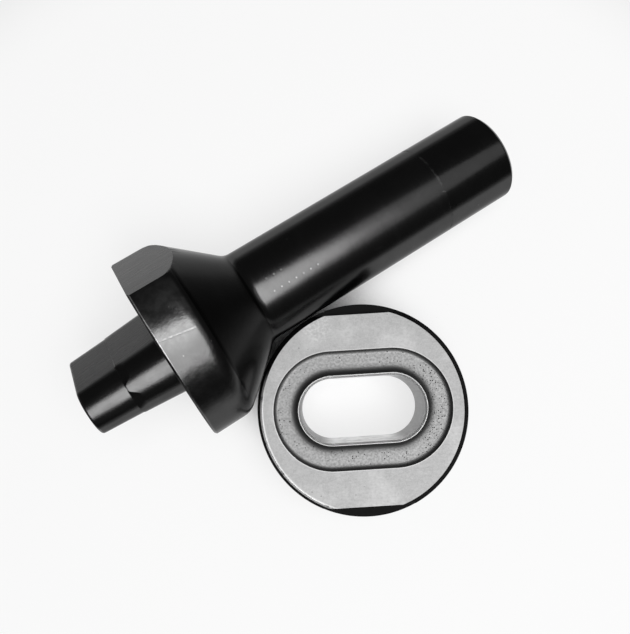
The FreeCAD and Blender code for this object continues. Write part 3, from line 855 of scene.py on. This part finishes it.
def makeMilledSteel(name, tones, gloss, roughness, metallic=0.0, edgeTint=1.0):
    groundTone, rootReflectionTone, cloudTone, streakTone = tones
    material, tree, sockets, place = newMaterial(
        name, driverPlace(), IOR=driverFinish["refraction"], Metallic=metallic)
    sockets["Specular IOR Level"].default_value = gloss
    sockets["Specular Tint"].default_value = grey(edgeTint)
    along = addNode(tree, "ShaderNodeSeparateXYZ", {"Vector": place}).outputs["Z"]
    onRoot = addMath(tree, "MULTIPLY", addRange(tree, along, -0.2, 0.0), addRange(
        tree, along, driver["rootLength"] + 0.1, driver["rootLength"] - 0.1))
    marks = addEffect(tree, toolMarks, {"Vector": place, "Scale": (0.9, 0.9, 0.1), "Detail": 4.0})
    streaks = addEffect(tree, toolMarks, {"Vector": place, "Scale": (0.35, 0.35, 0.05), "Detail": 5.0})
    mottle = addEffect(tree, cloudPatches, {
        "Vector": place, "Scale": 0.2, "Detail": 4.0, "Start": 0.42, "End": 0.62})
    worn = addEffect(tree, edgeWear, {
        "Vector": place, "Radius": 0.25 * mm, "Start": 0.01, "End": 0.06, "Scale": 0.12, "Cover": 0.55})
    end = driver["rootLength"] + driver["noseLength"]
    onNoseEdge = addMath(tree, "MULTIPLY", addRange(
        tree, along, end - driver["noseEdge"] - 0.1, end - driver["noseEdge"] + 0.3),
        addRange(tree, along, end - 0.05, end - 0.2))
    worn = addMath(tree, "MAXIMUM", worn, addMath(tree, "MULTIPLY", mottle, onNoseEdge))
    # painted reflection: the pilot's first stage is lighter than its second
    tone = addMix(tree, onRoot, grey(groundTone), grey(rootReflectionTone))
    tone = addMix(tree, mottle, tone, grey(cloudTone))
    tone = addMix(tree, addRange(tree, streaks, 0.5, 0.7), tone, grey(streakTone))
    tone = addMix(tree, addMath(tree, "MULTIPLY", worn, 0.25), tone, grey(driverFinish["wornTone"]))
    tree.links.new(tone, sockets["Base Color"])
    rough = addMath(tree, "MULTIPLY_ADD", marks, 0.16, roughness - 0.08)
    tree.links.new(rough, sockets["Roughness"])
    facets = addEffect(tree, cornerFacets, {
        "Vector": place, "End": driver["rootLength"], "Straight": driver["straight"],
        "Angle": math.radians(driverFinish["facetAngle"]), "Length": driverFinish["facetLength"],
        "Slope": driverFinish["facetSlope"]})
    setBump(tree, sockets, addMath(tree, "SUBTRACT", addMath(tree, "MULTIPLY", marks, 0.03), facets), 1.0)
    return material


def finishDriver(piece):
    coneBack = -driver["collarLength"] - driver["coneLength"]
    endChamfer = coneBack - driver["shankLength"] + driver["endChamfer"]
    turned = makeTurnedSteel("turnedBlackSteel", driverFinish["tone"], driverFinish["edgeTint"],
                             driverFinish["roughness"])
    # painted shade: the cone as a darker copy of the turned steel
    shadedCone = makeTurnedSteel("shadedConeSteel", driverFinish["coneShadeTone"], driverFinish["coneEdgeTint"],
                           driverFinish["coneRoughness"])
    struck = makeTurnedSteel("struckSteel", driverFinish["struckTone"], driverFinish["coneEdgeTint"],
                             driverFinish["coneRoughness"])
    giveMaterial(piece, turned, lambda place, normal: True)
    giveMaterial(piece, shadedCone, lambda place, normal: coneBack < place.z < -driver["collarLength"] - 1.2)
    giveMaterial(piece, struck, lambda place, normal: place.z < endChamfer)
    milled = makeMilledSteel("milledFlat", driverFinish["milledTones"], driverFinish["flatGloss"],
                             driverFinish["milledRoughness"])
    pilotFlat = makeMilledSteel("pilotFlat", driverFinish["milledTones"], driverFinish["pilotFlatGloss"],
                                driverFinish["milledRoughness"])
    pilotEnd = makeMilledSteel("pilotEnd", driverFinish["pilotEndTones"], driverFinish["plainGloss"],
                               driverFinish["pilotEndRoughness"], metallic=1.0,
                               edgeTint=driverFinish["edgeTint"])
    giveMaterial(piece, milled, lambda place, normal:
                 abs(place.y) > driver["flatDistance"] - 0.02 and abs(normal.y) > 0.99)
    giveMaterial(piece, pilotEnd, lambda place, normal: place.z > 0.2)
    giveMaterial(piece, pilotFlat, lambda place, normal:
                 place.z > 0.2 and abs(place.x) < driver["straight"] / 2 + driver["arrisReach"])


def makeDriver():
    piece = spinOutline("black_driver", driverOutline(), False)
    inPilot = driver["rootWidth"] / 2 + driver["curlLand"] + 2 * driver["curlRadius"] + 1
    stretchToOval(piece, driver["straight"],
                  lambda place: place.xy.length < inPilot and place.z > -2 * driver["curlDepth"])
    closePilot(piece)
    narrowNose(piece)
    cutCollarFlats(piece)
    softenEdges(piece, driver["flatSoftness"], onCollarFlat)
    finishDriver(piece)
    makeActive(piece)
    piece.matrix_world = driverPlace()
    bpy.ops.object.transform_apply(location=True, rotation=True, scale=True)
    finishShape(piece)
    return piece


groovedDie = makeDie()
print("die modelled:", len(groovedDie.data.polygons), "faces")
blackDriver = makeDriver()
print("driver modelled:", len(blackDriver.data.polygons), "faces")


# Floor, lamps and camera

studio = {
    "ambient": 0.06,
    "lamps": [                   # power, and width along the driver and across it
        (15.2, 0.95, 1.3),
        (4.2, 2.3, 1.3),
    ],
    "lampPlace": (0.22, -0.235, 1.2),
    "lampTurn": 29.3,
    "floorTone": 0.9,
    "farShadeTone": 0.3,
    "floorWhite": 1.0,
    "floorLift": 0.7,            # share of plain white that the camera and reflections see in the floor
    "brightReach": (0.165, 0.27),          # where the floor starts to darken with painted shade, and where it is dark
    "shadeReach": 0.06,          # how near a piece must be to shade the floor
    "shadeRange": (0.06, 0.25),  # openness at which the floor is black, and fully lit
    "liftRange": (0.16, 0.5),
}
view = {
    "place": (-14.189, 8.888, 255.482),        # in mm
    "forward": (0.000831, 0.098149, -0.995171),
    "upward": (0.061700, 0.993271, 0.098013),
    "focalLength": 687.68,                     # in pixels of the photograph's frame
    "imageWidth": 630,
}


def makeFloor():
    bpy.ops.object.select_all(action="DESELECT")
    bpy.ops.mesh.primitive_plane_add(size=6, location=(0, 0, 0))
    floor = bpy.context.object
    floor.name = "floor"
    material = bpy.data.materials.new("paleFloor")
    material.use_nodes = True
    tree = material.node_tree
    sockets = tree.nodes["Principled BSDF"].inputs
    place = addNode(tree, "ShaderNodeTexCoord").outputs["Object"]
    middle = (view["place"][0] * mm, view["place"][1] * mm, 0)
    away = addNode(tree, "ShaderNodeVectorMath", {
        0: place, 1: middle}, operation="DISTANCE").outputs["Value"]
    near = addRange(tree, away, studio["brightReach"][0], studio["brightReach"][1], 1.0, 0.0)
    clearance = addNode(tree, "ShaderNodeAmbientOcclusion", {
        "Distance": studio["shadeReach"]}, samples=16).outputs["AO"]
    # painted shade: the floor darkens away from the middle, standing in for dim surroundings
    tone = addMix(tree, near, grey(studio["farShadeTone"]), grey(studio["floorTone"]))
    distance = addEffect(tree, ovalDistance, {
        "Vector": place, "Straight": die["straight"] * mm})
    inHole = addMath(tree, "LESS_THAN", distance, (die["holeWidth"] / 2 + 0.5) * mm)
    isLit = addMath(tree, "MAXIMUM", addRange(tree, clearance, *studio["shadeRange"]), inHole)
    tone = addMix(tree, isLit, grey(0.0), tone)
    tree.links.new(tone, sockets["Base Color"])
    sockets["Roughness"].default_value = 0.9
    sockets["Specular IOR Level"].default_value = 0.0
    rays = addNode(tree, "ShaderNodeLightPath").outputs
    seen = addMath(tree, "MAXIMUM", rays["Is Camera Ray"], addMath(
        tree, "MAXIMUM", rays["Is Glossy Ray"], rays["Is Transmission Ray"]))
    glow = addNode(tree, "ShaderNodeEmission", {"Color": grey(1.0), "Strength": studio["floorWhite"]})
    clear = addMath(tree, "MAXIMUM", addRange(tree, clearance, *studio["liftRange"]), inHole)
    lift = addMath(tree, "MULTIPLY", addMath(tree, "MULTIPLY", clear, near), studio["floorLift"])
    mixed = addNode(tree, "ShaderNodeMixShader", {
        0: addMath(tree, "MULTIPLY", seen, lift),
        1: tree.nodes["Principled BSDF"].outputs["BSDF"], 2: glow.outputs["Emission"]})
    tree.links.new(mixed.outputs["Shader"], tree.nodes["Material Output"].inputs["Surface"])
    floor.data.materials.append(material)
    return floor


def makeLamp(power, length, width):
    bpy.ops.object.select_all(action="DESELECT")
    bpy.ops.object.light_add(type="AREA", location=studio["lampPlace"])
    lamp = bpy.context.object
    lamp.data.shape = "ELLIPSE"
    lamp.data.size = length
    lamp.data.size_y = width
    lamp.data.energy = power
    back = Vector(studio["lampPlace"]).normalized()
    turn = math.radians(studio["lampTurn"])
    along = Vector((math.cos(turn), math.sin(turn), 0))
    across = back.cross(along).normalized()
    lamp.rotation_euler = Matrix((across.cross(back), across, back)).transposed().to_euler()


def makeWorld():
    world = bpy.data.worlds.new("studio")
    bpy.context.scene.world = world
    world.use_nodes = True
    sky = world.node_tree.nodes["Background"].inputs
    sky["Color"].default_value = (1, 1, 1, 1)
    sky["Strength"].default_value = studio["ambient"]


def makeCamera():
    bpy.ops.object.select_all(action="DESELECT")
    bpy.ops.object.camera_add(location=(0, 0, 0))
    camera = bpy.context.object
    forward = Vector(view["forward"]).normalized()
    right = forward.cross(Vector(view["upward"])).normalized()
    upward = right.cross(forward)
    turned = Matrix((right, upward, -forward)).transposed().to_4x4()
    camera.matrix_world = Matrix.Translation(Vector(view["place"]) * mm) @ turned
    camera.data.sensor_fit = "HORIZONTAL"
    camera.data.lens = camera.data.sensor_width * view["focalLength"] / view["imageWidth"]
    camera.data.clip_start = 0.01
    bpy.context.scene.camera = camera


floor = makeFloor()
for lamp in studio["lamps"]:      # a strong one, and a long weak one that makes its reflection fade out
    makeLamp(*lamp)
makeWorld()
makeCamera()
bpy.context.scene.view_settings.view_transform = "Standard"
print("floor, lamps and camera set")


# Bodies: each piece hangs from its body, and the imported part is hidden

for piece, node, slot in ((groovedDie, "die", "ground_steel"),
                          (blackDriver, "driver", "black_oxide_steel")):
    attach(piece, node)
    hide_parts(node)
